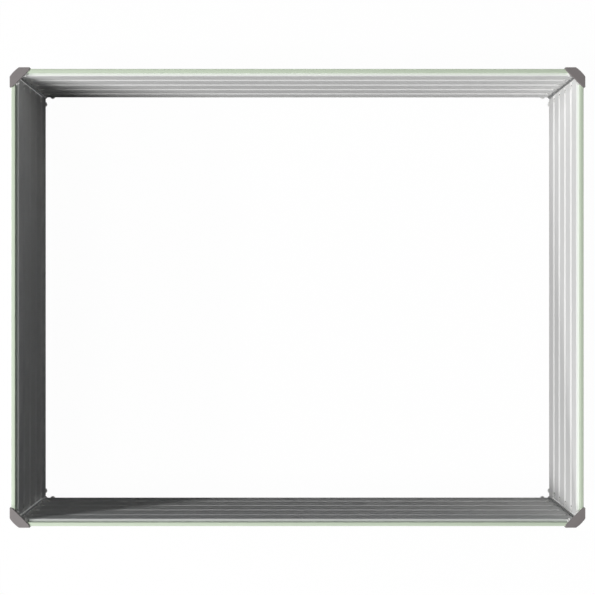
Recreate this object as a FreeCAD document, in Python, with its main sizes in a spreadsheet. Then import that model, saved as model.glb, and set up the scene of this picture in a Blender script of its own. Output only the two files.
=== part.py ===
import FreeCAD, Part
import math
import os
import Sketcher

# Raised garden bed: four ribbed sheet-steel walls bolted to four corner posts, with a cap on each corner.
# Millimetres. Origin at the centre of the footprint, on the ground. X runs along the long walls, Z is up.

SIZES = {
    # overall, measured over the corner caps
    "overall_length": 1000,
    "overall_width": 800,
    "rim_height": 300,
    # wall sheet and its rolled rim
    "sheet_thickness": 0.8,
    "rim_roll_radius": 4.5,
    "rim_roll_lap": 35,        # degrees that the roll goes on past the level of its centre
    "rim_slope": 3,
    # ribs: grooves pressed outwards between flat bands
    "groove_depth": 2.5,
    "groove_floor": 9,
    "groove_flank": 3.5,
    "rib_pitch": 58,
    "level_count": 5,
    "lowest_level": 8,
    # wall ends
    "corner_gap": 5.3,         # from a wall's end to the other wall's groove floor
    "end_bar_width": 1.6,
    "end_bar_proud": 0.6,      # inwards of the flat bands
    "roll_trim_gap": 0.4,
    # corner posts
    "post_wall": 3,
    "post_gap": 0.4,
    "post_edge_margin": 8,
    "post_top_gap": 0.5,
    "post_edge_round": 1,
    # corner caps
    "cap_wall": 2,
    "cap_plate": 2.5,
    "cap_gap": 0.4,
    "cap_leg": 34.4,
    "cap_chamfer": 16.3,
    "cap_bulge": 1.2,          # of the chamfered side, which is a shallow arc
    "cap_end_width": 4.9,
    "cap_drop": 11.5,
    "cap_corner_round": 2.4,
    "cap_top_bevel": 1,
    # fasteners: M4, hexagon heads outside and hexagon nuts inside
    "bolt_inset": 26.3,        # from the outer face of the cap to the bolts' centre line
    "hole_diameter": 4.5,
    "shank_diameter": 3.9,
    "round_sides": 8,          # facets of a shank or a hole, which repeat too often to be round
    "bolt_length": 8,
    "head_height": 2.8,
    "across_flats": 7,         # of heads and nuts
    "nut_height": 3.2,
    "nut_bore": 4.1,
    "cap_screw_length": 16,
    "cap_screw_head": 7.6,
    "cap_seat_diameter": 8,
    "cap_seat_depth": 1.2,
}

doc = FreeCAD.newDocument("garden_bed")
sheet = doc.addObject("Spreadsheet::Sheet", "Sizes")
for line, (alias, value) in enumerate(SIZES.items(), start=1):
    sheet.set("A%d" % line, alias)
    sheet.set("B%d" % line, str(value))
    sheet.setAlias("B%d" % line, alias)
doc.recompute()


def cells(expression):
    """Point every size name in an expression at its cell."""
    words = []
    word = ""
    for letter in expression + " ":
        if letter.isalnum() or letter == "_":
            word += letter
            continue
        words.append("Sizes." + word if word in SIZES else word)
        words.append(letter)
        word = ""
    return "".join(words).strip()


def number(expression):
    """The value of an expression as a plain number."""
    result = sheet.evalExpression(cells(expression))
    return float(getattr(result, "Value", result))


# Distances that several pieces share, as expressions of the sizes above.
EDGE = "(cap_wall + cap_gap + 2 * rim_roll_radius)"           # overall face to a wall's groove floor
LONG_FLOOR = "(overall_width / 2 - %s)" % EDGE                # groove floor of a long wall, along Y
END_FLOOR = "(overall_length / 2 - %s)" % EDGE                # groove floor of an end wall, along X
ROLL_FLOOR = "(rim_height - 2 * rim_roll_radius)"             # underside of the rim roll
ROLL_CENTRE = "(rim_height - rim_roll_radius)"
POST_SEAT = "(%s - sheet_thickness)" % EDGE                   # overall face to a post's inner leg face
POST_FACE = "(%s - post_wall)" % POST_SEAT
WALL_END_SUM = "(%s + corner_gap + %s)" % (EDGE, POST_SEAT)   # x + y of a wall's outer end corner
DIAGONAL = str(math.sqrt(2))                                  # of a unit square
BEND_SHIFT = "(sheet_thickness * tan(atan(groove_depth / groove_flank) / 2))"
HEXAGON = "(across_flats / cos(30 deg))"                      # its size across corners


def origin_part(body, role):
    for item in body.Origin.OriginFeatures:
        if item.Role == role:
            return item
    raise RuntimeError("no origin part " + role)


def new_body(name):
    body = doc.addObject("PartDesign::Body", name)
    body.Label = name
    body.AllowCompound = True
    return body


def new_sketch(body, name, role, lift=None):
    """A sketch on one of the body's own origin planes, lifted along the plane's normal."""
    sketch = body.newObject("Sketcher::SketchObject", body.Label + "_" + name)
    sketch.AttachmentSupport = [(origin_part(body, role), "")]
    sketch.MapMode = "FlatFace"
    if lift is not None:
        sketch.setExpression("AttachmentOffset.Base.z", cells(lift))
    return sketch


def hold(sketch, kind, curve, point, expression):
    """Hold one coordinate of a sketch point at an expression."""
    value = number(expression)
    index = sketch.addConstraint(Sketcher.Constraint(kind, -1, 1, curve, point, value))
    sketch.setExpression("Constraints[%d]" % index, cells(expression))


def draw_outline(sketch, corners):
    """Closed outline. A corner is (x, y), or (x, y, held, arc) where arc is (centre x, centre y, radius,
    counter-clockwise) for the stretch that starts there, and held names the coordinates to hold."""
    full = [corner if len(corner) == 4 else corner + ("xy", None) for corner in corners]
    places = [(number(corner[0]), number(corner[1])) for corner in full]
    starts = []
    ends = []
    for index, corner in enumerate(full):
        begin = places[index]
        finish = places[(index + 1) % len(full)]
        if corner[3] is None:
            line = Part.LineSegment(FreeCAD.Vector(*begin, 0), FreeCAD.Vector(*finish, 0))
            curve = sketch.addGeometry(line, False)
            starts.append((curve, 1))
            ends.append((curve, 2))
            continue
        centre_x, centre_y, radius, forward = corner[3]
        centre = (number(centre_x), number(centre_y))
        first, last = (begin, finish) if forward else (finish, begin)
        angles = [math.atan2(spot[1] - centre[1], spot[0] - centre[0]) for spot in (first, last)]
        circle = Part.Circle(FreeCAD.Vector(*centre, 0), FreeCAD.Vector(0, 0, 1), number(radius))
        curve = sketch.addGeometry(Part.ArcOfCircle(circle, angles[0], angles[1]), False)
        hold(sketch, "DistanceX", curve, 3, centre_x)
        hold(sketch, "DistanceY", curve, 3, centre_y)
        size = sketch.addConstraint(Sketcher.Constraint("Radius", curve, number(radius)))
        sketch.setExpression("Constraints[%d]" % size, cells(radius))
        starts.append((curve, 1 if forward else 2))
        ends.append((curve, 2 if forward else 1))
    for index, corner in enumerate(full):
        sketch.addConstraint(Sketcher.Constraint("Coincident", *ends[index - 1], *starts[index]))
        if "x" in corner[2]:
            hold(sketch, "DistanceX", *starts[index], corner[0])
        if "y" in corner[2]:
            hold(sketch, "DistanceY", *starts[index], corner[1])


def draw_polygon(sketch, x, y, across, sides):
    """A regular polygon, measured across its corners."""
    turns = [360 * side / sides for side in range(sides)]
    draw_outline(sketch, [("%s + %s / 2 * cos(%s deg)" % (x, across, turn),
                           "%s + %s / 2 * sin(%s deg)" % (y, across, turn)) for turn in turns])


def draw_hole(sketch, x, y, across):
    draw_polygon(sketch, x, y, across, int(number("round_sides")))


def add_pad(body, sketch, length, reverse=False, midplane=False):
    pad = body.newObject("PartDesign::Pad", sketch.Label + "_pad")
    pad.Profile = sketch
    pad.setExpression("Length", cells(length))
    pad.Reversed = reverse
    pad.Midplane = midplane
    body.Tip = pad
    return pad


def add_pocket(body, sketch, midplane=True):
    """A cut right through, to both sides of its sketch."""
    pocket = body.newObject("PartDesign::Pocket", sketch.Label + "_cut")
    pocket.Profile = sketch
    pocket.Type = "ThroughAll"
    pocket.Midplane = midplane
    body.Tip = pocket
    return pocket


def add_cut(body, sketch, depth, reverse):
    cut = body.newObject("PartDesign::Pocket", sketch.Label + "_cut")
    cut.Profile = sketch
    cut.setExpression("Length", cells(depth))
    cut.Reversed = reverse
    body.Tip = cut
    return cut


def repeat_levels(body, features):
    """Repeat features at every bolt level, upwards."""
    pattern = body.newObject("PartDesign::LinearPattern", body.Label + "_levels")
    pattern.Originals = features
    pattern.Direction = (origin_part(body, "Z_Axis"), [""])
    pattern.setExpression("Length", cells("rib_pitch * (level_count - 1)"))
    pattern.setExpression("Occurrences", cells("level_count"))
    body.Tip = pattern
    return pattern


def add_dress(body, feature, kind, key, size, chosen):
    """Round or bevel the edges of a feature that the function chosen accepts."""
    doc.recompute()
    names = ["Edge%d" % index for index, edge in enumerate(feature.Shape.Edges, start=1) if chosen(edge)]
    dress = body.newObject(kind, feature.Label + "_" + key.lower())
    dress.Base = (feature, names)
    dress.setExpression(key, cells(size))
    body.Tip = dress
    return dress


def wall_section():
    """The sheet's section: x is outwards from the groove floor, y is up. Up the inner face, then down."""
    groove = "(-groove_depth)"
    inner = [("0 * groove_depth", "0 * groove_depth")]
    for level in range(int(number("level_count"))):
        middle = "(lowest_level + %d * rib_pitch)" % level
        if level:
            inner.append((groove, "%s - groove_floor / 2 - groove_flank" % middle))
            inner.append(("0 * groove_depth", "%s - groove_floor / 2" % middle))
        inner.append(("0 * groove_depth", "%s + groove_floor / 2" % middle))
        inner.append((groove, "%s + groove_floor / 2 + groove_flank" % middle))
    # the offset face follows each bend at half its angle, downwards where the sheet leans out
    outer = [("sheet_thickness", "0 * groove_depth")]
    for index, (x, y) in enumerate(inner[1:], start=1):
        leans_in = (index % 4) in (1, 2)
        outer.append((x + " + sheet_thickness", y + (" + " if leans_in else " - ") + BEND_SHIFT))
    shelf = "%s + sheet_thickness" % ROLL_FLOOR
    inner.append((groove, "%s - rim_slope" % shelf))
    outer.append((groove + " + sheet_thickness",
                  "%s - rim_slope - sheet_thickness * tan(22.5 deg)" % shelf))
    inner.append((groove + " + rim_slope", shelf))
    outer.append((groove + " + rim_slope + sheet_thickness * tan(22.5 deg)", ROLL_FLOOR))
    inner_arc = ("rim_roll_radius", ROLL_CENTRE, "rim_roll_radius - sheet_thickness", True)
    outer_arc = ("rim_roll_radius", ROLL_CENTRE, "rim_roll_radius", False)
    inner.append(("rim_roll_radius", shelf, "x", inner_arc))
    lip = [("rim_roll_radius - (rim_roll_radius - %s) * cos(rim_roll_lap * 1 deg)" % gap,
            "%s - (rim_roll_radius - %s) * sin(rim_roll_lap * 1 deg)" % (ROLL_CENTRE, gap), "y", arc)
           for gap, arc in (("sheet_thickness", None), ("0 * sheet_thickness", outer_arc))]
    return inner + lip + [("rim_roll_radius", ROLL_FLOOR, "x", None)] + outer[::-1]


def wall_panel(name, overall, floor, turn, side, barred):
    """One wall, made along X with its groove floor on the XZ plane, then turned and moved to its side."""
    body = new_body(name)
    half_length = "(%s / 2 - %s - corner_gap)" % (overall, EDGE)
    profile = new_sketch(body, "section", "YZ_Plane")
    draw_outline(profile, wall_section())
    add_pad(body, profile, "2 * " + half_length, midplane=True)
    column = "(%s / 2 - bolt_inset)" % overall
    holes = new_sketch(body, "holes", "XZ_Plane")
    rim_holes = new_sketch(body, "rim_holes", "XZ_Plane")
    for sign in ("-", ""):
        draw_hole(holes, sign + column, "lowest_level", "hole_diameter")
        draw_hole(rim_holes, sign + column, ROLL_CENTRE, "hole_diameter")
    repeat_levels(body, [add_pocket(body, holes)])
    add_pocket(body, rim_holes)
    # the roll's outer corner is cut at 45 degrees, to clear the chamfered side of the cap
    clearance = "%s * (cap_wall + roll_trim_gap)" % DIAGONAL
    trim_sum = "(%s / 2 - cap_chamfer + %s - %s)" % (overall, EDGE, clearance)
    trim = new_sketch(body, "trim", "XY_Plane")
    reach = "(rim_roll_radius * 3)"
    for sign in ("-", ""):
        draw_outline(trim, [("%s(%s - %s)" % (sign, trim_sum, reach), reach),
                            ("%s%s" % (sign, trim_sum), reach),
                            ("%s%s" % (sign, trim_sum), "0 * " + reach)])
    add_pocket(body, trim)
    if barred:
        bars = new_sketch(body, "bars", "XY_Plane")
        for sign in ("-", ""):
            inner_x = "%s(%s - end_bar_width)" % (sign, half_length)
            outer_x = "%s%s" % (sign, half_length)
            proud = "-(groove_depth + end_bar_proud)"
            draw_outline(bars, [(inner_x, proud), (outer_x, proud),
                                (outer_x, "sheet_thickness"), (inner_x, "sheet_thickness")])
        add_pad(body, bars, "%s - rim_slope" % ROLL_FLOOR)
    body.Placement = FreeCAD.Placement(FreeCAD.Vector(), FreeCAD.Rotation(FreeCAD.Vector(0, 0, 1), turn))
    body.setExpression("Placement.Base." + side[1], cells(side[0] + floor))
    return body


def corner_post():
    """Angle profile outside the wall ends. Its axes start at the cap's outer corner; inside is negative."""
    inner_sum = "(%s - %s * post_gap)" % (WALL_END_SUM, DIAGONAL)
    outer_sum = "(%s - %s * post_wall)" % (inner_sum, DIAGONAL)
    tip = "(bolt_inset + post_edge_margin)"
    half = [("-" + tip, "-" + POST_SEAT), ("-" + tip, "-" + POST_FACE),
            ("-(%s - %s)" % (outer_sum, POST_FACE), "-" + POST_FACE)]
    rest = [("-(%s - %s)" % (inner_sum, POST_SEAT), "-" + POST_SEAT)]
    mirrored = [(y, x) for x, y in half[::-1]] + [(y, x) for x, y in rest]
    return half + mirrored + rest


def build_post(name):
    body = new_body(name)
    section = new_sketch(body, "section", "XY_Plane")
    draw_outline(section, corner_post())
    pad = add_pad(body, section, "%s - post_top_gap" % ROLL_FLOOR)
    tip = number("bolt_inset + post_edge_margin")
    face = number(POST_FACE)

    def is_outer_edge(edge):
        middle = edge.CenterOfMass
        upright = edge.BoundBox.ZLength > edge.Length / 2
        near_face = min(abs(middle.x + face), abs(middle.y + face)) < face / 100
        return upright and near_face and max(-middle.x, -middle.y) < tip + face

    add_dress(body, pad, "PartDesign::Fillet", "Radius", "post_edge_round", is_outer_edge)
    cuts = []
    for role, sign in (("XZ_Plane", "-"), ("YZ_Plane", "-")):
        holes = new_sketch(body, "holes_" + role[:2].lower(), role)
        draw_hole(holes, sign + "bolt_inset", "lowest_level", "hole_diameter")
        cuts.append(add_pocket(body, holes))
    repeat_levels(body, cuts)
    return body


def build_cap(name):
    """Cap: a plate over the rim corner with a skirt down its three outer sides."""
    body = new_body(name)
    low = "-cap_leg"
    arc_radius = "((cap_chamfer * cap_chamfer / 2 + cap_bulge * cap_bulge) / (2 * cap_bulge))"
    arc_centre = "(-cap_chamfer / 2 - (%s - cap_bulge) / %s)" % (arc_radius, DIAGONAL)
    outer_side = [(low, "0 * cap_leg"),
                  ("-cap_chamfer", "0 * cap_leg", "y", (arc_centre, arc_centre, arc_radius, False)),
                  ("0 * cap_leg", "-cap_chamfer", "x", None),
                  ("0 * cap_leg", low)]
    plan = new_sketch(body, "plate", "XY_Plane", "rim_height")
    draw_outline(plan, [(low, "-cap_end_width")] + outer_side + [("-cap_end_width", low)])
    add_pad(body, plan, "cap_plate")
    inner_sum = "(cap_chamfer + %s * cap_wall)" % DIAGONAL
    skirt = new_sketch(body, "skirt", "XY_Plane", "rim_height")
    draw_outline(skirt, [(low, "-cap_wall")] + outer_side + [
        ("-cap_wall", low),
        ("-cap_wall", "-(%s - cap_wall)" % inner_sum),
        ("-(%s - cap_wall)" % inner_sum, "-cap_wall")])
    pad = add_pad(body, skirt, "cap_drop", reverse=True)
    leg = number("cap_leg")
    top = number("rim_height + cap_plate")

    def is_chamfer_corner(edge):
        middle = edge.CenterOfMass
        upright = edge.BoundBox.ZLength > edge.Length / 2
        on_side = max(middle.x, middle.y) > -leg / 100
        return upright and on_side and min(middle.x, middle.y) > -leg * 0.99

    corners = add_dress(body, pad, "PartDesign::Fillet", "Radius", "cap_corner_round", is_chamfer_corner)

    def is_top(edge):
        return abs(edge.BoundBox.ZMin - top) < leg / 1000

    add_dress(body, corners, "PartDesign::Chamfer", "Size", "cap_top_bevel", is_top)
    # on each leg a hole for the cap screw, with a seat that sinks its head
    for role, reverse in (("XZ_Plane", True), ("YZ_Plane", False)):
        hole = new_sketch(body, "hole_" + role[:2].lower(), role)
        draw_hole(hole, "-bolt_inset", ROLL_CENTRE, "hole_diameter")
        add_cut(body, hole, "2 * cap_wall", reverse)
        seat = new_sketch(body, "seat_" + role[:2].lower(), role)
        draw_hole(seat, "-bolt_inset", ROLL_CENTRE, "cap_seat_diameter")
        add_cut(body, seat, "cap_seat_depth", reverse)
    return body


def legs(body, label, lift):
    """A sketch on each leg of the corner, the same lift in from its outer face, and whether its pads are
    reversed to run inwards."""
    pairs = []
    for role, sign, reverse in (("XZ_Plane", "", False), ("YZ_Plane", "-", True)):
        pairs.append((new_sketch(body, label + "_" + role[:2].lower(), role, sign + lift), reverse))
    return pairs


def build_bolts(name):
    """Bolts through the post and both walls, heads outside."""
    body = new_body(name)
    pads = []
    for sketch, reverse in legs(body, "head", POST_FACE):
        draw_polygon(sketch, "-bolt_inset", "lowest_level", HEXAGON, 6)
        pads.append(add_pad(body, sketch, "head_height", reverse=not reverse))
    for sketch, reverse in legs(body, "shank", POST_FACE):
        draw_hole(sketch, "-bolt_inset", "lowest_level", "shank_diameter")
        pads.append(add_pad(body, sketch, "bolt_length", reverse=reverse))
    repeat_levels(body, pads)
    return body


def build_cap_screws(name):
    """Screws through the cap and the rim rolls, their heads sunk in the cap's seats."""
    body = new_body(name)
    for label, across, length in (("head", "cap_screw_head", "cap_seat_depth"),
                                  ("shank", "shank_diameter", "cap_screw_length")):
        for sketch, reverse in legs(body, label, "(0 * cap_wall)"):
            draw_hole(sketch, "-bolt_inset", ROLL_CENTRE, across)
            add_pad(body, sketch, length, reverse=reverse)
    return body


def build_nuts(name):
    """Hexagon nuts on the groove floors, and one on each rim roll."""
    body = new_body(name)
    pads = []
    for sketch, reverse in legs(body, "level", EDGE):
        draw_polygon(sketch, "-bolt_inset", "lowest_level", HEXAGON, 6)
        draw_hole(sketch, "-bolt_inset", "lowest_level", "nut_bore")
        pads.append(add_pad(body, sketch, "nut_height", reverse=reverse))
    repeat_levels(body, pads)
    for sketch, reverse in legs(body, "rim", EDGE):
        draw_polygon(sketch, "-bolt_inset", ROLL_CENTRE, HEXAGON, 6)
        draw_hole(sketch, "-bolt_inset", ROLL_CENTRE, "nut_bore")
        add_pad(body, sketch, "nut_height", reverse=reverse)
    return body


def build_walls():
    return [
        wall_panel("long_panel_back", "overall_length", LONG_FLOOR, 0, ("", "y"), False),
        wall_panel("long_panel_front", "overall_length", LONG_FLOOR, 180, ("-", "y"), False),
        wall_panel("end_panel_right", "overall_width", END_FLOOR, -90, ("", "x"), True),
        wall_panel("end_panel_left", "overall_width", END_FLOOR, 90, ("-", "x"), True),
    ]


def build_corner(corner, turn, x_sign, y_sign):
    """The post, cap and fasteners of one corner, turned about Z and moved to the corner."""
    bodies = [
        build_post("corner_post_" + corner),
        build_cap("corner_cap_" + corner),
        build_bolts("bolts_" + corner),
        build_nuts("nuts_" + corner),
        build_cap_screws("cap_screws_" + corner),
    ]
    for body in bodies:
        body.Placement = FreeCAD.Placement(FreeCAD.Vector(), FreeCAD.Rotation(FreeCAD.Vector(0, 0, 1), turn))
        body.setExpression("Placement.Base.x", cells(x_sign + "overall_length / 2"))
        body.setExpression("Placement.Base.y", cells(y_sign + "overall_width / 2"))
    return bodies


nodes = build_walls()
for corner, turn, x_sign, y_sign in (("back_right", 0, "", ""), ("back_left", 90, "-", ""),
                                     ("front_left", 180, "-", "-"), ("front_right", 270, "", "-")):
    nodes += build_corner(corner, turn, x_sign, y_sign)
doc.recompute()

for item in doc.Objects:
    if "Invalid" in item.State or "Error" in item.State:
        raise RuntimeError("%s failed: %s" % (item.Label, item.State))
for body in nodes:
    if body.Shape.isNull() or not body.Shape.isValid() or not body.Shape.Solids:
        raise RuntimeError("%s has no valid solid" % body.Label)

os.makedirs("parts", exist_ok=True)
for body in nodes:
    body.Shape.exportStep("parts/%s.step" % body.Label)
    box = body.Shape.BoundBox
    print("%-24s solids %2d volume %.0f box %.1f..%.1f %.1f..%.1f %.1f..%.1f" % (
        body.Label, len(body.Shape.Solids), body.Shape.Volume,
        box.XMin, box.XMax, box.YMin, box.YMax, box.ZMin, box.ZMax))
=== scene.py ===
import bpy
import math
import numpy as np
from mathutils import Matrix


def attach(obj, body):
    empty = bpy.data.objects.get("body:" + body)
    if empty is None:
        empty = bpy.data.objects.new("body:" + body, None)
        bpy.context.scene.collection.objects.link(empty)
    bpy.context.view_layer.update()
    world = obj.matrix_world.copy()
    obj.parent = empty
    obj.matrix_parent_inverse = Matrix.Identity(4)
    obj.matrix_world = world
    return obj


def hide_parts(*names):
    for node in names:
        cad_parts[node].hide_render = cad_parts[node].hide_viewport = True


# Raised garden bed, looked into from straight above. Metres, +X along the long walls, +Z up.

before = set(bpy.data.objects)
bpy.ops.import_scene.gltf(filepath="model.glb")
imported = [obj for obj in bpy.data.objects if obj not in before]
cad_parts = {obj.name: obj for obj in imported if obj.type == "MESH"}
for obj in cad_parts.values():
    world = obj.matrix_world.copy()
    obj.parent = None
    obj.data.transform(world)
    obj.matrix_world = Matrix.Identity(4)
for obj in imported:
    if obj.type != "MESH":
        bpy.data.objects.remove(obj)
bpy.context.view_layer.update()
print("frame loaded:", len(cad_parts), "nodes")


def newMaterial(name):
    material = bpy.data.materials.new(name)
    material.use_nodes = True
    nodes = material.node_tree.nodes
    return material, nodes, material.node_tree.links, nodes["Principled BSDF"]


def addNode(nodes, kind, values=None, **settings):
    node = nodes.new(kind)
    for key, value in settings.items():
        setattr(node, key, value)
    for key, value in (values or {}).items():
        node.inputs[key].default_value = value
    return node


def noiseOn(nodes, links, source, scale, detail, stretch):
    mapping = addNode(nodes, "ShaderNodeMapping", {"Scale": stretch})
    noise = addNode(nodes, "ShaderNodeTexNoise", {"Scale": scale, "Detail": detail})
    links.new(source, mapping.inputs["Vector"])
    links.new(mapping.outputs["Vector"], noise.inputs["Vector"])
    return noise.outputs["Fac"]


def tintBetween(nodes, links, factor, look):
    ramp = addNode(nodes, "ShaderNodeValToRGB")
    colours = (look["low"], look["high"])
    for element, position, colour in zip(ramp.color_ramp.elements, look["tintSpan"], colours):
        element.position = position
        element.color = (*colour, 1)
    links.new(factor, ramp.inputs["Fac"])
    return ramp.outputs["Color"]


def bumpFrom(nodes, links, height, strength, distance):
    bump = addNode(nodes, "ShaderNodeBump", {"Strength": strength, "Distance": distance})
    links.new(height, bump.inputs["Height"])
    return bump.outputs["Normal"]


def paintedBounceOn(nodes, links, source, colour, look):
    # the colour turns into a painted green reflection of the roll between two lengths up the sheet,
    # which its map holds as Y
    spread = addNode(nodes, "ShaderNodeSeparateXYZ")
    fade = addNode(nodes, "ShaderNodeMapRange",
                   {"From Min": look["paintedBounceFrom"], "From Max": look["paintedBounceTo"]})
    blend = addNode(nodes, "ShaderNodeMix", {"B": (*look["paintedBounce"], 1)}, data_type="RGBA")
    links.new(source, spread.inputs[0])
    links.new(spread.outputs["Y"], fade.inputs["Value"])
    links.new(fade.outputs[0], blend.inputs["Factor"])
    links.new(colour, blend.inputs["A"])
    return blend.outputs["Result"]


# patch and grain are the scales of two noises: the first tints from low to high as it rises
# through the tint span, and the second is the bump. plainLook is what a finish has where its own
# settings say nothing.
plainLook = {
    "metallic": 0, "specular": 0.5, "coords": "Object", "stretch": (1, 1, 1),
    "tintSpan": (0.3, 0.7), "patchDetail": 3, "grainDetail": 2, "grainStrength": 0.5,
}
plasticLook = {
    "roughness": 0.55, "specular": 0.3, "patch": 25, "grain": 1600, "grainHeight": 0.00003,
}
finishes = {
    "greenPaint": {
        "low": (0.462, 0.532, 0.418), "high": (0.482, 0.554, 0.438), "roughness": 0.42,
        "specular": 0.3, "patch": 3, "grain": 900, "grainHeight": 0.00002, "coords": "UV",
    },
    "greyBackCoat": {
        "low": (0.68, 0.68, 0.675), "high": (0.71, 0.71, 0.705), "roughness": 0.6,
        "specular": 0, "patch": 6, "grain": 500, "grainHeight": 0.00001, "coords": "UV",
        "stretch": (0.15, 1, 1),
        # painted light: a green reflection of the roll painted on the slope under the rim
        "paintedBounce": (0.67, 0.715, 0.65), "paintedBounceFrom": 0.296, "paintedBounceTo": 0.2995,
    },
    "cutSteel": {
        "low": (0.62, 0.62, 0.62), "high": (0.74, 0.74, 0.73), "roughness": 0.38,
        "metallic": 0.6, "patch": 60, "grain": 1500, "grainHeight": 0.00001,
    },
    "cornerPlastic": {**plasticLook, "low": (0.160, 0.146, 0.145), "high": (0.180, 0.164, 0.162)},
    "postPlastic": {**plasticLook, "low": (0.235, 0.24, 0.237), "high": (0.26, 0.265, 0.262)},
    # painted light: a near-white mirror for the bars that stand in for the thin bright line at each
    # short wall's end
    "paintedLightBar": {
        "low": (0.92, 0.92, 0.91), "high": (0.96, 0.96, 0.95), "roughness": 0.1,
        "metallic": 1, "patch": 60, "grain": 1500, "grainHeight": 0.000004,
    },
    "zincPlate": {
        "low": (0.62, 0.62, 0.61), "high": (0.72, 0.72, 0.70), "roughness": 0.5,
        "metallic": 0.1, "patch": 180, "grain": 2500, "grainHeight": 0.00001,
    },
}
shaderSockets = {
    "Roughness": "roughness", "Metallic": "metallic", "Specular IOR Level": "specular",
}


def buildFinish(name):
    look = {**plainLook, **finishes[name]}
    material, nodes, links, shader = newMaterial(name)
    source = addNode(nodes, "ShaderNodeTexCoord").outputs[look["coords"]]
    patches = noiseOn(nodes, links, source, look["patch"], look["patchDetail"], look["stretch"])
    colour = tintBetween(nodes, links, patches, look)
    # the slope under the roll gets a painted green reflection of the roll
    if "paintedBounce" in look:
        colour = paintedBounceOn(nodes, links, source, colour, look)
    links.new(colour, shader.inputs["Base Color"])
    grain = noiseOn(nodes, links, source, look["grain"], look["grainDetail"], look["stretch"])
    normal = bumpFrom(nodes, links, grain, look["grainStrength"], look["grainHeight"])
    links.new(normal, shader.inputs["Normal"])
    for socket, key in shaderSockets.items():
        shader.inputs[socket].default_value = look[key]
    return material


materials = {name: buildFinish(name) for name in finishes}
print("materials:", ", ".join(materials))


def gridQuads(rows, columns, closedAcross):
    # the four corners of each cell; a closed grid joins its last column to its first
    index = np.arange(rows * columns).reshape(rows, columns)
    if closedAcross:
        index = np.concatenate([index, index[:, :1]], axis=1)
    cells = [index[:-1, :-1], index[:-1, 1:], index[1:, 1:], index[1:, :-1]]
    return np.stack(cells, axis=-1).reshape(-1, 4)


def meshFromGrid(name, grid, closedAcross=False, uv=None):
    # grid is rows x columns x 3, and uv is rows x columns x 2
    quads = gridQuads(*grid.shape[:2], closedAcross)
    mesh = bpy.data.meshes.new(name)
    mesh.from_pydata(grid.reshape(-1, 3), [], quads)
    if uv is not None:
        layer = mesh.uv_layers.new(name="sheet")
        layer.data.foreach_set("uv", uv.reshape(-1, 2)[quads.ravel()].ravel())
    return mesh


def addPiece(name, mesh, finish):
    piece = bpy.data.objects.new(name, mesh)
    bpy.context.scene.collection.objects.link(piece)
    for each in finish:
        mesh.materials.append(materials[each])
    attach(piece, "root")
    return piece


def smoothOn(mesh):
    mesh.polygons.foreach_set("use_smooth", np.ones(len(mesh.polygons), dtype=bool))


def turnAboutUp(degrees):
    # rows of points times this matrix are turned about +Z, anticlockwise from above
    angle = math.radians(degrees)
    return np.array([[math.cos(angle), math.sin(angle), 0],
                     [-math.sin(angle), math.cos(angle), 0], [0, 0, 1]])


wall = {
    "length": 1.0, "width": 0.8, "rim": 0.3,
    "edge": 0.0114,            # from the overall face to the groove floor
    "gap": 0.0048,             # from a wall's end to the other wall's groove floor
    "sheet": 0.0008, "grooveDepth": 0.0025, "grooveFloor": 0.009, "flank": 0.0035,
    "pitch": 0.058, "levels": 5, "lowest": 0.008,
    "bendRadius": 0.0014, "bendSteps": 6,
    "slope": 0.0045,           # height of the 45 degree slope between the flat and the roll
    "rollRadius": 0.0036,
    "rollMiddle": 0.0054,      # outwards from the groove floor
    "rollEnd": 215, "rollSteps": 56,
    "squareness": 5,           # of the roll's outer and upper sides, where 2 is round
    "trim": 0.0083,            # from half the length to the 45 degree trim, at the groove floor
    "stations": 180, "rowStep": 0.005,
    "wave": 0.00005,           # how far the flats are from plane
    "waveRates": ((13, 21), (29, -34), (47, 55)),      # along and up, in radians per metre
    "calmRim": 0.012,          # no waves this near the rim
    "calmEnds": 8,             # they are scaled by 1 less this power of the share along
}


def roundCorners(corners, radius, steps):
    # each inner corner becomes an arc that starts a tangent's length before it, radius times the
    # tangent of half the turn, and carries the arm from its centre round by the turn
    before = np.diff(corners, axis=0)
    before /= np.linalg.norm(before, axis=1)[:, None]
    after = before[1:]
    before = before[:-1]
    turn = np.arctan2(before[:, 0] * after[:, 1] - before[:, 1] * after[:, 0],
                      (before * after).sum(axis=1))
    start = corners[1:-1] - before * (radius * np.tan(np.abs(turn) / 2))[:, None]
    arm = np.stack([before[:, 1], -before[:, 0]], axis=1) * (radius * np.sign(turn))[:, None]
    centre = start - arm
    angle = turn[:, None] * np.linspace(0, 1, steps)
    across = centre[:, :1] + arm[:, :1] * np.cos(angle) - arm[:, 1:] * np.sin(angle)
    up = centre[:, 1:] + arm[:, :1] * np.sin(angle) + arm[:, 1:] * np.cos(angle)
    arcs = np.stack([across, up], axis=-1).reshape(-1, 2)
    return np.concatenate([corners[:1], arcs, corners[-1:]])


def grooveCorners():
    # four corners for each groove, on the flat, floor, floor and flat. They are on the middle line,
    # so each lies half the sheet times the tangent of half the bend past the inner face's corner.
    # The lowest groove has only its upper two.
    half = wall["sheet"] / 2
    flat = half - wall["grooveDepth"]
    bend = half * math.tan(math.atan(wall["grooveDepth"] / wall["flank"]) / 2)
    middle = wall["lowest"] + wall["pitch"] * np.arange(wall["levels"])
    low = middle - wall["grooveFloor"] / 2
    high = middle + wall["grooveFloor"] / 2
    heights = [low - wall["flank"] - bend, low - bend, high + bend, high + wall["flank"] + bend]
    outwards = [flat, half, half, flat]
    corners = [np.stack([np.full_like(low, x), z], axis=1) for x, z in zip(outwards, heights)]
    return np.stack(corners, axis=1).reshape(-1, 2)[2:]


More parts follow.
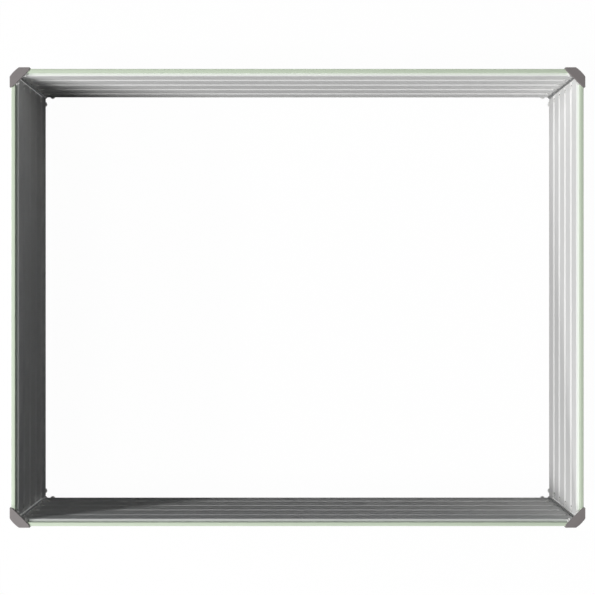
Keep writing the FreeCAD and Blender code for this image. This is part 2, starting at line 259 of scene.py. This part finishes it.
def rollPath():
    # a superellipse about the roll's middle: x is the radius times cos ** (2 / n), z is the radius
    # times sin ** (2 / n), each with its sign kept. The inner lower quarter is a plain circle.
    angle = np.radians(np.linspace(-90, wall["rollEnd"], wall["rollSteps"]))[1:]
    radius = wall["rollRadius"] - wall["sheet"] / 2
    cosine = np.cos(angle)
    sine = np.sin(angle)
    power = np.where((cosine > 0) | (sine > 0), 2 / wall["squareness"], 1)
    outwards = wall["rollMiddle"] + radius * np.sign(cosine) * np.abs(cosine) ** power
    up = wall["rim"] - wall["rollRadius"] + radius * np.sign(sine) * np.abs(sine) ** power
    return np.stack([outwards, up], axis=1)


def wallPath():
    # the sheet's middle line, outwards from the groove floor's inner face and up from the ground:
    # the grooves, the slope and the shelf under the roll, and the roll. Each spot is the length of
    # the line up to a point, with extra points where the line runs straight for long.
    half = wall["sheet"] / 2
    deep = wall["grooveDepth"]
    shelf = wall["rim"] - 2 * wall["rollRadius"] + half
    lean = half * math.tan(math.radians(45 / 2))
    foot = np.array([[half, 0]])
    top = np.array([[half - deep, shelf + half - wall["slope"] - lean],
                    [wall["slope"] - deep + lean, shelf],
                    [wall["rollMiddle"], shelf]])
    flats = roundCorners(np.concatenate([foot, grooveCorners(), top]),
                         wall["bendRadius"], wall["bendSteps"])
    roll = rollPath()
    path = np.concatenate([flats, roll])
    length = np.concatenate([[0], np.cumsum(np.linalg.norm(np.diff(path, axis=0), axis=1))])
    extra = np.arange(wall["rowStep"], length[-len(roll)], wall["rowStep"])
    spots = np.unique(np.concatenate([length, extra]))
    return np.interp(spots, length, path[:, 0]), np.interp(spots, length, path[:, 1]), spots


def buildWall(node, overall, turn, across, seed):
    # the point at spot s and share t is (reach(s) * t, outwards(s) + waves(s, t), up(s)). The reach
    # is half the wall, or less where the 45 degree trim cuts the roll. The waves are a mean of
    # three sines, and vanish at the grooves, the rim and the ends.
    outwards, up, spots = wallPath()
    half = overall / 2 - wall["edge"] - wall["gap"]
    reach = np.minimum(half, overall / 2 - wall["trim"] - outwards)
    share = np.linspace(-1, 1, wall["stations"])
    along = reach[:, None] * share
    ripple = sum(np.sin(along * rate + seed * rate + up[:, None] * rise)
                 for rate, rise in wall["waveRates"]) / len(wall["waveRates"])
    calm = np.sin(np.pi * (up - wall["lowest"]) / wall["pitch"]) ** 2
    calm = calm * (up < wall["rim"] - wall["calmRim"])
    push = wall["wave"] * ripple * calm[:, None] * (1 - share ** wall["calmEnds"])
    height = np.broadcast_to(up[:, None], along.shape)
    grid = np.stack([along, outwards[:, None] + push, height], axis=-1)
    uv = np.stack([along + seed, np.broadcast_to(spots[:, None], along.shape)], axis=-1)
    grid[..., 1] += across
    # the columns run backwards, so that the painted faces point outwards
    mesh = meshFromGrid(node + "_sheet", (grid @ turnAboutUp(turn))[:, ::-1], uv=uv[:, ::-1])
    smoothOn(mesh)
    piece = addPiece(node + "_sheet", mesh, ["greenPaint", "greyBackCoat", "cutSteel"])
    solidify = piece.modifiers.new("thickness", "SOLIDIFY")
    solidify.thickness = wall["sheet"]
    solidify.offset = 0
    solidify.material_offset = 1
    solidify.material_offset_rim = 2
    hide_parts(node)


longAcross = wall["width"] / 2 - wall["edge"]
endAcross = wall["length"] / 2 - wall["edge"]
buildWall("long_panel_back", wall["length"], 0, longAcross, 1)
buildWall("long_panel_front", wall["length"], 180, longAcross, 2)
buildWall("end_panel_right", wall["width"], -90, endAcross, 3)
buildWall("end_panel_left", wall["width"], 90, endAcross, 4)
print("walls done")


bar = {
    "width": 0.0024,
    "proud": 0.0009,           # inwards of the flats
    "edge": 0.0003, "steps": 5,
    "bottom": 0.055, "top": 0.288,
}


def roundedRectangle(low, high, radius, steps):
    # four quarter turns, joined in order, each of them centre + radius * (cos, sin)
    quarter = np.radians(np.linspace(0, 90, steps))[None, :]
    quarter = quarter + np.radians([0, 90, 180, 270])[:, None]
    centreX = np.array([high[0], low[0], low[0], high[0]]) + radius * np.array([-1, 1, 1, -1])
    centreY = np.array([high[1], high[1], low[1], low[1]]) + radius * np.array([-1, -1, 1, 1])
    return np.stack([centreX[:, None] + radius * np.cos(quarter),
                     centreY[:, None] + radius * np.sin(quarter)], axis=-1).reshape(-1, 2)


def upright(outline, heights):
    # an outline carried up through the heights, drawn in to its middle at both ends to close it
    middle = outline.mean(axis=0)
    scale = np.ones(len(heights))
    scale[[0, -1]] = 0
    ring = middle + (outline - middle)[None] * scale[:, None, None]
    height = np.broadcast_to(np.array(heights)[:, None, None], ring.shape[:2] + (1,))
    return np.concatenate([ring, height], axis=-1)


def buildPaintedLightBar(name, side, end):
    # a rounded rectangle at the short wall's end, mirrored into its corner by the two signs;
    # painted light, a bright mirror bar for the thin line of light at the corner
    outer = wall["width"] / 2 - wall["edge"] - wall["gap"]
    inside = endAcross - wall["grooveDepth"] - bar["proud"]
    outline = roundedRectangle((inside, outer - bar["width"]), (endAcross + wall["sheet"], outer),
                               bar["edge"], bar["steps"])
    grid = upright(outline * [side, end], [bar["bottom"], bar["bottom"], bar["top"], bar["top"]])
    if side * end < 0:
        grid = grid[:, ::-1]   # keeps the faces outwards in a mirrored bar
    addPiece(name, meshFromGrid(name, grid, closedAcross=True), ["paintedLightBar"])


for side, sideName in ((1, "right"), (-1, "left")):
    for end, endName in ((1, "back"), (-1, "front")):
        buildPaintedLightBar("painted_light_bar_" + sideName + "_" + endName, side, end)
print("end bars done")


# bore, shank and screwHead are radii. The rises are shares of a block's height, and the rings
# are shares of the screw's head.
fastener = {
    "inset": 0.0263,           # from the overall face to the bolts' column
    "rimLevel": 0.2955,        # of the cap's screws and the rim's nuts
    "rimShift": 0.0018,        # of the rim's nuts, outwards to the roll
    "angles": 48,
    "acrossFlats": 0.007, "headHeight": 0.0028, "nutHeight": 0.0032, "bore": 0.00205,
    "chamferSlope": 1.9,
    "chamferStart": 0.96,      # the face's radius over half the flats
    "rises": (0, 0, 0.06, 0.12, 0.2, 0.8, 0.88, 0.94, 1, 1),
    "postFace": 0.0076,        # from the overall face to the post's outer face
    "shank": 0.00195, "tip": 0.0156, "overlap": 0.0002,
    "thread": 0.00016, "threadPitch": 0.0007, "threadRows": 61,
    "tipShare": 0.72,          # the tip's radius over the shank's
    "screwHead": 0.0038, "screwDepth": 0.0012, "screwLength": 0.016, "screwBevel": 0.00025,
    "rings": (0, 0.12, 0.25, 0.4, 0.5, 0.58, 0.7, 0.85, 0.94, 1),
    "recess": 0.0009, "armWidth": 0.00045, "armEdge": 1.6, "armReach": 0.62, "armFade": 0.0006,
    "sharpFrom": 28,           # degrees between faces past which an edge stays sharp
}
anglesRound = np.linspace(0, 2 * math.pi, fastener["angles"], endpoint=False)


def hexagonRadius(angle):
    # the distance to a hexagon's side: its half width over the cosine of the angle from that
    # side's middle
    return fastener["acrossFlats"] / 2 / np.cos(np.mod(angle, math.pi / 3) - math.pi / 6)


def turned(radius, height):
    # the point at a height and an angle is (height, radius * cos, radius * sin), so x is the axis
    radius = np.broadcast_to(radius, (len(height), len(anglesRound)))
    return np.stack([np.broadcast_to(np.array(height)[:, None], radius.shape),
                     radius * np.cos(anglesRound), radius * np.sin(anglesRound)], axis=-1)


def hexagonBlock(start, height, core, bothEnds):
    # the smaller of a hexagon's radius and a cone's, which widens from the far end, and from the
    # near end too if both are chamfered
    rise = height * np.array(fastener["rises"])
    flat = fastener["acrossFlats"] / 2
    tip = flat * fastener["chamferStart"]
    far = tip + (height - rise) * fastener["chamferSlope"]
    near = tip + rise * fastener["chamferSlope"] if bothEnds else np.full_like(rise, flat * 2)
    radius = np.minimum(hexagonRadius(anglesRound)[None], np.minimum(far, near)[:, None])
    radius[[0, -1]] = core
    return turned(radius, start + rise)


def threadedEnd(start, length):
    # the shank's radius less a triangle wave of the thread's pitch, within a 45 degree bevel at
    # the tip, and closed there
    along = np.linspace(0, length, fastener["threadRows"])
    ridge = np.abs(np.mod(along / fastener["threadPitch"], 1) - 0.5) * 2 * fastener["thread"]
    bevel = fastener["shank"] * fastener["tipShare"] + (length - along)
    radius = np.concatenate([np.minimum(fastener["shank"] - ridge, bevel), [0]])
    return turned(radius[:, None], start + np.concatenate([along, [length]]))


def screwHead(start, depth):
    # a flush disc with a cross pressed into its face: the recess where the distance from an arm's
    # middle, the radius times sin of twice the angle, is small, and fading out towards the rim
    ring = np.array(fastener["rings"]) * fastener["screwHead"]
    arm = np.abs(np.sin(2 * anglesRound))[None] * ring[:, None]
    reach = (fastener["screwHead"] * fastener["armReach"] - ring) / fastener["armFade"]
    inside = np.clip(fastener["armEdge"] - arm / fastener["armWidth"], 0, 1)
    inside = inside * np.clip(reach, 0, 1)[:, None]
    face = start + fastener["recess"] * inside
    face[-1] += fastener["screwBevel"]
    radius = np.broadcast_to(ring[:, None], inside.shape)
    top = np.stack([face, radius * np.cos(anglesRound), radius * np.sin(anglesRound)], axis=-1)
    side = turned(np.array([[fastener["screwHead"]], [0]]), start + np.array([depth, depth]))
    return np.concatenate([top, side])


def placeOnLegs(shape, heights):
    # copies of a shape, its axis turned inwards, at every height on both legs of the +X +Y corner
    lift = np.array(heights)[:, None, None]
    spots = np.broadcast_to(shape, (len(heights),) + shape.shape)
    inset = -fastener["inset"]
    height = spots[..., 2] + lift
    onEnd = np.stack([-spots[..., 0], spots[..., 1] + inset, height], axis=-1)
    onLong = np.stack([inset - spots[..., 1], -spots[..., 0], height], axis=-1)
    return np.concatenate([onEnd, onLong])


# each corner's turn from the +X +Y one, and its signs in X and Y
corners = {"back_right": (0, 1, 1), "back_left": (90, -1, 1), "front_left": (180, -1, -1),
           "front_right": (270, 1, -1)}


def buildFasteners(name, corner, copies, node):
    # the copies are turned to their corner and make one mesh
    turn, signX, signY = corners[corner]
    spin = turnAboutUp(turn)
    shift = np.array([signX * wall["length"] / 2, signY * wall["width"] / 2, 0])
    points = []
    quads = []
    count = 0
    for copy in copies:
        rows, columns = copy.shape[:2]
        # taken in the other order, so that a turned shape's faces point outwards
        quads.append(gridQuads(rows, columns, True)[:, [0, 3, 2, 1]] + count)
        points.append(copy.reshape(-1, 3) @ spin + shift)
        count += rows * columns
    mesh = bpy.data.meshes.new(name)
    mesh.from_pydata(np.concatenate(points), [], np.concatenate(quads))
    smoothOn(mesh)
    mesh.set_sharp_from_angle(angle=math.radians(fastener["sharpFrom"]))
    piece = addPiece(name, mesh, ["zincPlate"])
    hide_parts(node)


boltHeights = wall["lowest"] + wall["pitch"] * np.arange(wall["levels"])
rimHeight = [fastener["rimLevel"]]
postFace = fastener["postFace"]
overlap = fastener["overlap"]
screwDepth = fastener["screwDepth"]
# the head points outwards from the post, and everything else inwards
head = hexagonBlock(0, fastener["headHeight"], 0, False) * [-1, 1, -1] + [postFace, 0, 0]
shank = threadedEnd(postFace - overlap, fastener["tip"] - postFace + overlap)
nut = hexagonBlock(wall["edge"], fastener["nutHeight"], fastener["bore"], True)
rimNut = hexagonBlock(wall["edge"] - fastener["rimShift"], fastener["nutHeight"],
                      fastener["bore"], True)
screwTop = screwHead(0, screwDepth)
screwShank = threadedEnd(screwDepth - overlap, fastener["screwLength"] - screwDepth + overlap)
fastenerSets = {
    "bolt_set_": ("bolts_", ((head, boltHeights), (shank, boltHeights))),
    "nut_set_": ("nuts_", ((nut, boltHeights), (rimNut, rimHeight))),
    "cap_screw_set_": ("cap_screws_", ((screwTop, rimHeight), (screwShank, rimHeight))),
}
cornerFinishes = {"corner_post_": "postPlastic", "corner_cap_": "cornerPlastic"}
for corner in corners:
    for setName, (nodeName, shapes) in fastenerSets.items():
        copies = [copy for shape, heights in shapes for copy in placeOnLegs(shape, heights)]
        buildFasteners(setName + corner, corner, copies, nodeName + corner)
    for part, finish in cornerFinishes.items():
        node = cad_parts[part + corner]
        node.data.materials.clear()
        node.data.materials.append(materials[finish])
print("fasteners done")


studio = {
    "floorReach": 12, "floorDrop": 0.0002, "floorColour": (0.8, 0.8, 0.8), "floorRoughness": 0.9,
    "floorShare": 0.02,        # how much of the floor's look comes from the light that falls on it
    "floorBounce": (0.005, 0.005, 0.005),      # its colour for light that it sends on
    "ambient": 0.006, "ambientColour": (0.7, 0.85, 1.0),
    "cameraHeight": 2.871, "lens": 89.5, "sensor": 36,
    "lampDistance": 6,
    # the bearing is counted from +X, and the rise is the angle above the ground, in degrees
    "lamps": {
        "leftLamp": {"bearing": 179, "rise": 38, "width": 3.3, "height": 0.6, "power": 218},
        "highLeftLamp": {"bearing": 203, "rise": 66, "width": 0.3, "height": 1.7, "power": 178},
        "frontLeftLamp": {"bearing": 248, "rise": 23, "width": 1.5, "height": 0.8, "power": 148},
        "frontFill": {"bearing": 287, "rise": 8, "width": 1.2, "height": 1.3, "power": 40},
        "topFill": {"bearing": 180, "rise": 85, "width": 1.7, "height": 3.7, "power": 12},
        "backFill": {"bearing": 128, "rise": 17, "width": 0.4, "height": 2.5, "power": 8,
                     "colour": (0.8, 0.88, 1)},
        "backRightFill": {"bearing": 42, "rise": 29, "width": 1.5, "height": 0.5, "power": 5,
                          "colour": (0.8, 0.88, 1)},
        # stands below the rim, so that it lights only the outside of the back and right walls
        "outsideFill": {"bearing": 48, "rise": 1.3, "width": 2.4, "height": 0.26, "power": 230},
    },
}
white = (1, 1, 1, 1)


def seenDirectly(nodes, links):
    # 1 for rays from the camera, a mirror or glass, and 0 for light that bounces off matt surfaces
    path = addNode(nodes, "ShaderNodeLightPath")
    first = addNode(nodes, "ShaderNodeMath", operation="MAXIMUM")
    second = addNode(nodes, "ShaderNodeMath", operation="MAXIMUM")
    links.new(path.outputs["Is Camera Ray"], first.inputs[0])
    links.new(path.outputs["Is Glossy Ray"], first.inputs[1])
    links.new(first.outputs[0], second.inputs[0])
    links.new(path.outputs["Is Transmission Ray"], second.inputs[1])
    return second.outputs[0]


def buildFloor():
    # white with the object's shadow where it is seen directly, and nearly black for other light
    material, nodes, links, shader = newMaterial("paleFloor")
    shader.inputs["Base Color"].default_value = (*studio["floorColour"], 1)
    shader.inputs["Roughness"].default_value = studio["floorRoughness"]
    shader.inputs["Specular IOR Level"].default_value = 0
    glow = addNode(nodes, "ShaderNodeEmission", {"Color": white, "Strength": 1})
    dark = addNode(nodes, "ShaderNodeBsdfDiffuse", {"Color": (*studio["floorBounce"], 1)})
    look = addNode(nodes, "ShaderNodeMixShader", {"Fac": studio["floorShare"]})
    choose = addNode(nodes, "ShaderNodeMixShader")
    links.new(glow.outputs[0], look.inputs[1])
    links.new(shader.outputs[0], look.inputs[2])
    links.new(seenDirectly(nodes, links), choose.inputs[0])
    links.new(dark.outputs[0], choose.inputs[1])
    links.new(look.outputs[0], choose.inputs[2])
    links.new(choose.outputs[0], nodes["Material Output"].inputs["Surface"])
    mesh = bpy.data.meshes.new("floor")
    signs = ((-1, -1), (1, -1), (1, 1), (-1, 1))
    reach = studio["floorReach"]
    mesh.from_pydata([(reach * x, reach * y, -studio["floorDrop"]) for x, y in signs], [],
                     [(0, 1, 2, 3)])
    mesh.materials.append(material)
    floor = bpy.data.objects.new("floor", mesh)
    bpy.context.scene.collection.objects.link(floor)


def buildWorld():
    # white where it is seen directly, and a faint bluish light otherwise
    world = bpy.data.worlds.new("studio")
    world.use_nodes = True
    nodes = world.node_tree.nodes
    links = world.node_tree.links
    plain = nodes["Background"]
    plain.inputs["Color"].default_value = (*studio["ambientColour"], 1)
    plain.inputs["Strength"].default_value = studio["ambient"]
    backdrop = addNode(nodes, "ShaderNodeBackground", {"Color": white, "Strength": 1})
    choose = addNode(nodes, "ShaderNodeMixShader")
    links.new(seenDirectly(nodes, links), choose.inputs[0])
    links.new(plain.outputs[0], choose.inputs[1])
    links.new(backdrop.outputs[0], choose.inputs[2])
    links.new(choose.outputs[0], nodes["World Output"].inputs["Surface"])
    bpy.context.scene.world = world


def addLamp(name, lamp):
    # a rectangle that faces the origin from its bearing and rise
    light = bpy.data.lights.new(name, "AREA")
    light.shape = "RECTANGLE"
    light.size = lamp["width"]
    light.size_y = lamp["height"]
    light.energy = lamp["power"]
    light.color = lamp.get("colour", (1, 1, 1))
    bearing = math.radians(lamp["bearing"])
    rise = math.radians(lamp["rise"])
    towards = np.array([math.cos(rise) * math.cos(bearing), math.cos(rise) * math.sin(bearing),
                        math.sin(rise)])
    holder = bpy.data.objects.new(name, light)
    holder.location = towards * studio["lampDistance"]
    holder.rotation_euler = (math.pi / 2 - rise, 0, bearing + math.pi / 2)
    holder.visible_camera = False
    bpy.context.scene.collection.objects.link(holder)


def addCamera():
    camera = bpy.data.objects.new("camera", bpy.data.cameras.new("camera"))
    camera.data.lens = studio["lens"]
    camera.data.sensor_width = studio["sensor"]
    camera.location = (0, 0, studio["cameraHeight"])
    bpy.context.scene.collection.objects.link(camera)
    bpy.context.scene.camera = camera


buildFloor()
buildWorld()
for lampName, lamp in studio["lamps"].items():
    addLamp(lampName, lamp)
addCamera()
bpy.context.scene.view_settings.view_transform = "Standard"
print("studio done")
